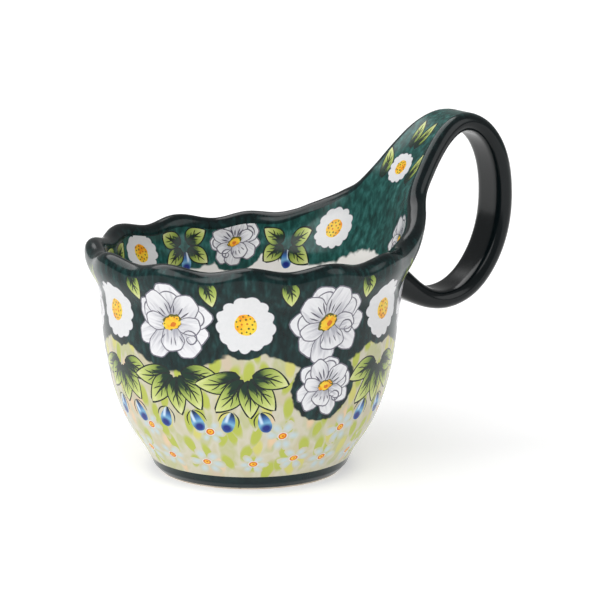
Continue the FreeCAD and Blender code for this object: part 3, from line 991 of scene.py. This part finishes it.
def millimetres(tree, stretch=(1.0, 1.0, 1.0)):
    """Place on the object in millimetres, times a stretch along each axis."""
    coordinates = wire(tree, "ShaderNodeTexCoord").outputs["Object"]
    factor = tuple(1000.0 * value for value in stretch)
    return wire(tree, "ShaderNodeVectorMath", {0: coordinates, 1: factor}, operation="MULTIPLY").outputs[0]


def noise(tree, vector, scale=1.0, detail=2.0):
    """Soft patches, 0 to 1."""
    return wire(tree, "ShaderNodeTexNoise", {"Vector": vector, "Scale": scale, "Detail": detail}).outputs[0]


def length_of(tree, first, second):
    """The length of a flat vector."""
    return calc(tree, "SQRT", calc(tree, "ADD", calc(tree, "MULTIPLY", first, first),
                                   calc(tree, "MULTIPLY", second, second)))


def brush_marks(tree, along_scale, across_scale, scale):
    """Patches drawn out along a painted shape, different on each shape."""
    along, across, seed = split(tree, "local")
    spread = wire(tree, "ShaderNodeCombineXYZ", {0: calc(tree, "MULTIPLY", along, along_scale),
                                                 1: calc(tree, "MULTIPLY", across, across_scale), 2: seed})
    return noise(tree, spread.outputs[0], scale, 3.0)


def glaze(name, roughness=0.18, ripple=0.05):
    """A glossy glazed material; returns it with its node tree."""
    material = bpy.data.materials.new(name)
    material.use_nodes = True
    tree = material.node_tree
    shader = tree.nodes["Principled BSDF"]
    shader.inputs["Specular IOR Level"].default_value = 0.27
    waves = noise(tree, millimetres(tree), 0.11, 3.0)
    bump = wire(tree, "ShaderNodeBump", {"Height": waves, "Strength": 0.25, "Distance": ripple * MM})
    tree.links.new(bump.outputs[0], shader.inputs["Normal"])
    worn = noise(tree, millimetres(tree), 0.35, 3.0)
    gloss = wire(tree, "ShaderNodeMapRange",
                 {"Value": worn, "To Min": roughness - 0.03, "To Max": roughness + 0.05})
    tree.links.new(gloss.outputs[0], shader.inputs["Roughness"])
    return material, tree


def finish_glaze(material, colour):
    """Gives a glaze its colour."""
    tree = material.node_tree
    tree.links.new(colour, tree.nodes["Principled BSDF"].inputs["Base Color"])
    return material


def split(tree, attribute):
    """The three parts of a vertex attribute."""
    vector = wire(tree, "ShaderNodeAttribute", attribute_name=attribute).outputs["Vector"]
    return wire(tree, "ShaderNodeSeparateXYZ", {0: vector}).outputs


def dark_green(tree, side):
    """Brushed dark green: near-black pools with lighter streaks where the brush thinned. One glaze in two
    copies: painted shade keeps the outside copy darker, painted light makes the inside copy lighter.
    """
    streak = noise(tree, millimetres(tree, (0.5, 0.5, 0.22)), 1.0, 4.0)
    # painted shade: the outside copy of the same dark green glaze is kept darker
    if side > 0:
        return ramp(tree, streak, [(0.3, (0.002, 0.009, 0.009)), (0.52, (0.005, 0.022, 0.022)),
                                   (0.68, (0.011, 0.048, 0.046)), (0.84, (0.034, 0.105, 0.10))])
    # painted light: the inside copy of the same dark green glaze is lighter
    return ramp(tree, streak, [(0.3, (0.005, 0.032, 0.028)), (0.5, (0.011, 0.068, 0.060)),
                               (0.66, (0.026, 0.125, 0.112)), (0.82, (0.08, 0.24, 0.22))])


def ground(tree, field, side):
    """The ground between the figures: a pale field, the dark band, halos and the black edge."""
    band, halo, black = split(tree, "tone")
    ragged = calc(tree, "SUBTRACT", noise(tree, millimetres(tree), 0.3, 1.5), 0.5)
    band_edge = between(tree, calc(tree, "ADD", band, calc(tree, "MULTIPLY", ragged, 0.5)), 0.38, 0.58)
    halo_edge = between(tree, calc(tree, "ADD", halo, calc(tree, "MULTIPLY", ragged, 1.0)), 0.36, 0.62)
    colour = mix(tree, calc(tree, "MAXIMUM", band_edge, halo_edge), field, dark_green(tree, side))
    return mix(tree, black, colour, BLACK)


def outside_field(tree):
    """Cream washed with lime, straw and peach."""
    wash = noise(tree, millimetres(tree, (0.13, 0.13, 0.07)), 1.0, 2.0)
    return ramp(tree, wash, [(0.28, (0.56, 0.47, 0.35)), (0.42, (0.52, 0.49, 0.33)),
                             (0.52, (0.57, 0.54, 0.44)), (0.62, (0.47, 0.48, 0.26)),
                             (0.8, (0.51, 0.49, 0.33))])


def inside_field(tree):
    """Warm white glaze with a faint mottle."""
    mottle = noise(tree, millimetres(tree), 0.05, 3.0)
    return ramp(tree, mottle, [(0.35, (0.80, 0.78, 0.75)), (0.65, (0.85, 0.835, 0.81))])


def soft_touch(tree, under, colour, low, high):
    """A touch of colour that fades out towards its outline."""
    along, across, _ = split(tree, "local")
    out = calc(tree, "SUBTRACT", calc(tree, "MULTIPLY", along, 2.0), 1.0)
    cover = calc(tree, "SUBTRACT", 1.0, between(tree, length_of(tree, out, across), low, high))
    return mix(tree, cover, under, colour)


def petal_colour(tree):
    """White petals, greyer towards the heart, with fine grey brush marks."""
    along = split(tree, "local")[0]
    marks = brush_marks(tree, 1.1, 3.2, 1.6)
    shade = calc(tree, "ADD", calc(tree, "MULTIPLY", calc(tree, "SUBTRACT", 0.62, along), 0.9),
                 calc(tree, "MULTIPLY", calc(tree, "SUBTRACT", marks, 0.5), 1.5))
    return mix(tree, between(tree, shade, -0.3, 0.65), (0.75, 0.75, 0.77), (0.34, 0.34, 0.39))


def leaf_colour(tree):
    """Lime leaves, dark at the base, with dark green brush marks along them."""
    along, across, _ = split(tree, "local")
    marks = brush_marks(tree, 1.3, 2.4, 1.9)
    uneven = calc(tree, "MULTIPLY", calc(tree, "SUBTRACT", marks, 0.5), 0.5)
    tint = ramp(tree, calc(tree, "ADD", along, uneven),
                [(0.1, (0.08, 0.14, 0.03)), (0.4, (0.28, 0.37, 0.07)), (0.75, (0.50, 0.57, 0.17)),
                 (1.0, (0.66, 0.68, 0.36))])
    middle = calc(tree, "MULTIPLY", calc(tree, "ABSOLUTE", across), 0.55)
    dark = calc(tree, "SUBTRACT", calc(tree, "ADD", calc(tree, "MULTIPLY", marks, 1.15), 0.12),
                calc(tree, "ADD", along, middle))
    return mix(tree, between(tree, dark, 0.0, 0.3), tint, (0.008, 0.03, 0.018))


def bud_colour(tree):
    """Sky-blue buds with a pale streak, a dark base and a round deep-blue end."""
    along, across, _ = split(tree, "local")
    body = ramp(tree, along, [(0.0, (0.004, 0.014, 0.03)), (0.16, (0.01, 0.035, 0.10)),
                              (0.34, (0.04, 0.13, 0.36)), (0.56, (0.17, 0.40, 0.60)),
                              (0.74, (0.14, 0.34, 0.56)), (1.0, (0.05, 0.14, 0.40))])
    off = calc(tree, "ABSOLUTE", calc(tree, "ADD", across, 0.32))
    streak = calc(tree, "MULTIPLY", calc(tree, "SUBTRACT", 1.0, between(tree, off, 0.05, 0.3)),
                  calc(tree, "SUBTRACT", 1.0, between(tree, along, 0.45, 0.62)))
    body = mix(tree, calc(tree, "MULTIPLY", streak, 0.75), body, (0.72, 0.85, 0.95))
    ahead = calc(tree, "MULTIPLY", calc(tree, "SUBTRACT", along, 0.79), 3.4)
    end = calc(tree, "SUBTRACT", 1.0, between(tree, length_of(tree, ahead, across), 0.3, 0.95))
    return mix(tree, end, body, (0.012, 0.025, 0.20))


def heart_colour(tree):
    """Yellow centres that turn orange to one side."""
    patches = noise(tree, millimetres(tree), 0.32, 2.0)
    return ramp(tree, patches, [(0.36, (0.82, 0.62, 0.05)), (0.52, (0.86, 0.50, 0.03)),
                                (0.66, (0.80, 0.27, 0.01))])


def speckled(tree, first, second):
    """Two close colours in small patches, for lines and dots."""
    return mix(tree, noise(tree, millimetres(tree), 0.8, 2.0), first, second)


def skin_materials(name, field, side):
    """One material for each kind of painted shape, in the order of KINDS."""
    made = []

    def touch(colour, low):
        return lambda tree: ground(tree, soft_touch(tree, field(tree), colour, low, 1.0), side)

    colours = {
        "ground": lambda tree: ground(tree, field(tree), side),
        "petal": petal_colour,
        "white": lambda tree: speckled(tree, (0.66, 0.67, 0.68), (0.74, 0.74, 0.75)),
        "line": lambda tree: speckled(tree, (0.08, 0.08, 0.10), (0.22, 0.21, 0.26)),
        "grey": lambda tree: speckled(tree, (0.05, 0.05, 0.07), (0.14, 0.13, 0.17)),
        "leaf": leaf_colour,
        "ink": lambda tree: speckled(tree, (0.004, 0.006, 0.008), (0.02, 0.03, 0.025)),
        "bud": bud_colour,
        "heart": heart_colour,
        "ember": lambda tree: speckled(tree, (0.50, 0.10, 0.01), (0.72, 0.22, 0.02)),
        "olive": lambda tree: speckled(tree, (0.05, 0.06, 0.01), (0.16, 0.15, 0.03)),
        "mist": touch((0.48, 0.58, 0.62), 0.0),
        "lime": touch((0.42, 0.47, 0.08), 0.5),
        "straw": touch((0.58, 0.55, 0.16), 0.4),
        "peach": touch((0.70, 0.52, 0.34), 0.2),
    }
    for kind in KINDS:
        material, tree = glaze(name + "_" + kind)
        made.append(finish_glaze(material, colours[kind](tree)))
    return made


def dark_glaze():
    """Dark green gloss that runs to black, the same as the ground's band."""
    material, tree = glaze("dark_glaze", 0.16)
    black = split(tree, "tone")[2]
    return finish_glaze(material, mix(tree, black, dark_green(tree, 1), BLACK))


def foot_glaze():
    """The near-black band round the foot."""
    material, tree = glaze("foot_glaze", 0.14)
    return finish_glaze(material, mix(tree, noise(tree, millimetres(tree), 0.2, 3.0), (0.002, 0.006, 0.008),
                                      (0.010, 0.030, 0.032)))


def liner_glaze():
    """The plain white inside, below the paint."""
    material, tree = glaze("liner_glaze", 0.16)
    return finish_glaze(material, inside_field(tree))


def bare_clay():
    """Unglazed fired clay: fine grit, darker specks and faint turning rings."""
    material = bpy.data.materials.new("bare_clay")
    material.use_nodes = True
    tree = material.node_tree
    shader = tree.nodes["Principled BSDF"]
    grit = noise(tree, millimetres(tree), 2.2, 4.0)
    body = ramp(tree, noise(tree, millimetres(tree), 0.18, 3.0),
                [(0.3, (0.50, 0.43, 0.34)), (0.7, (0.62, 0.55, 0.46))])
    specks = between(tree, noise(tree, millimetres(tree), 1.1, 1.0), 0.66, 0.72)
    tree.links.new(mix(tree, specks, body, (0.30, 0.23, 0.17)), shader.inputs["Base Color"])
    rough = wire(tree, "ShaderNodeMapRange", {"Value": grit, "To Min": 0.72, "To Max": 0.92})
    tree.links.new(rough.outputs[0], shader.inputs["Roughness"])
    x, y, _ = wire(tree, "ShaderNodeSeparateXYZ", {0: millimetres(tree)}).outputs
    rings = calc(tree, "SINE", calc(tree, "MULTIPLY", length_of(tree, x, y), 2.6))
    height = calc(tree, "ADD", grit, calc(tree, "MULTIPLY", rings, 0.25))
    bump = wire(tree, "ShaderNodeBump", {"Height": height, "Strength": 0.5, "Distance": 0.12 * MM})
    tree.links.new(bump.outputs[0], shader.inputs["Normal"])
    return material


# ---------------------------------------------------------------- building the mug

outside = outside_motifs()
inside = inside_motifs()
dark = dark_glaze()

outer_paint = paint_skin("outer_paint", 1, ROUND * math.radians(OUTSIDE_SEAM), FOOT_BAND_TOP, outside,
                         skin_materials("outer", outside_field, 1))
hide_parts("outer_glaze")

liner_paint = paint_skin("liner_paint", -1, ROUND * math.radians(INSIDE_SEAM), LINER_PAINT_LOW, inside,
                         skin_materials("liner", inside_field, -1))
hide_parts("liner_glaze")

liner_floor = make_turned("liner_floor", liner_outline(), liner_glaze())
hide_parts("liner_glaze")

rim_edge = make_rim_edge(dark)
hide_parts("outer_glaze", "liner_glaze")

handle_strap = make_handle(dark)
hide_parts("handle_loop", "handle_glaze", "upper_slip_joint", "lower_slip_joint")

band_top = [(float(bowl_radius(np.array(s), 1)), s) for s in (FOOT_BAND_TOP, 5.2, 4.5, 3.8, 3.3)]
foot_band = make_turned("foot_band", band_top + FOOT_BAND_OUTLINE, foot_glaze())
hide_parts("foot_glaze")

clay_foot = make_turned("clay_foot", CLAY_OUTLINE, bare_clay())
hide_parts("foot_ring", "bowl_body")


# ---------------------------------------------------------------- floor, light and camera

def make_floor():
    """A wide pale floor."""
    mesh = bpy.data.meshes.new("floor")
    signs = ((-1.0, -1.0), (1.0, -1.0), (1.0, 1.0), (-1.0, 1.0))
    mesh.from_pydata([(x * FLOOR_REACH, y * FLOOR_REACH, 0.0) for x, y in signs], [], [(0, 1, 2, 3)])
    floor = bpy.data.objects.new("floor", mesh)
    bpy.context.scene.collection.objects.link(floor)
    material = bpy.data.materials.new("floor")
    material.use_nodes = True
    shader = material.node_tree.nodes["Principled BSDF"]
    shader.inputs["Base Color"].default_value = (0.8, 0.8, 0.8, 1.0)
    shader.inputs["Roughness"].default_value = 0.9
    shader.inputs["Specular IOR Level"].default_value = 0.1
    shader.inputs["Emission Color"].default_value = (1.0, 1.0, 1.0, 1.0)
    shader.inputs["Emission Strength"].default_value = 0.42
    mesh.materials.append(material)


def towards(azimuth, elevation):
    """Unit vector towards a light, from angles in degrees."""
    around, up = math.radians(azimuth), math.radians(elevation)
    return Vector((math.cos(up) * math.cos(around), math.cos(up) * math.sin(around), math.sin(up)))


def softbox(name, azimuth, elevation, distance, size, glow):
    """An oval lamp aimed at the middle of the mug, seen only as a reflection. Angles are in degrees."""
    light = bpy.data.lights.new(name, "AREA")
    light.shape = "ELLIPSE"
    light.size, light.size_y = size
    light.energy = glow * math.pi * math.pi / 4.0 * size[0] * size[1]
    lamp = bpy.data.objects.new(name, light)
    lamp.visible_diffuse = False
    bpy.context.scene.collection.objects.link(lamp)
    direction = towards(azimuth, elevation)
    lamp.location = LIGHT_AIM + direction * distance
    lamp.rotation_euler = direction.to_track_quat("Z", "Y").to_euler()


def light_scene():
    """A white surround for the camera, a dimmer one for the rest, an even soft light and softboxes."""
    world = bpy.data.worlds.new("studio")
    bpy.context.scene.world = world
    world.use_nodes = True
    tree = world.node_tree
    background = tree.nodes["Background"]
    seen = wire(tree, "ShaderNodeLightPath").outputs["Is Camera Ray"]
    strength = wire(tree, "ShaderNodeMapRange", {"Value": seen, "To Min": 0.3, "To Max": 1.0})
    background.inputs["Color"].default_value = (1.0, 1.0, 1.0, 1.0)
    tree.links.new(strength.outputs[0], background.inputs["Strength"])
    soft = bpy.data.lights.new("soft", "SUN")
    soft.energy = 2.6
    soft.angle = math.radians(110.0)
    lamp = bpy.data.objects.new("soft", soft)
    lamp.visible_glossy = False
    lamp.rotation_euler = towards(-150.0, 50.0).to_track_quat("Z", "Y").to_euler()
    bpy.context.scene.collection.objects.link(lamp)
    softbox("key", -172.0, 38.0, 1.2, (1.1, 1.1), 3.0)
    softbox("fill", -52.0, 30.0, 1.2, (0.8, 1.1), 1.6)
    softbox("top", 110.0, 60.0, 1.2, (1.4, 1.1), 3.0)


def add_camera():
    """The camera looks down 12 degrees, 30.5 degrees round from the front."""
    data = bpy.data.cameras.new("camera")
    data.sensor_width = 36.0
    data.lens = CAMERA_LENS
    camera = bpy.data.objects.new("camera", data)
    bpy.context.scene.collection.objects.link(camera)
    camera.location = CAMERA_PLACE
    camera.rotation_euler = (CAMERA_AIM - CAMERA_PLACE).to_track_quat("-Z", "Y").to_euler()
    bpy.context.scene.camera = camera


make_floor()
light_scene()
add_camera()
bpy.context.scene.view_settings.view_transform = "Standard"
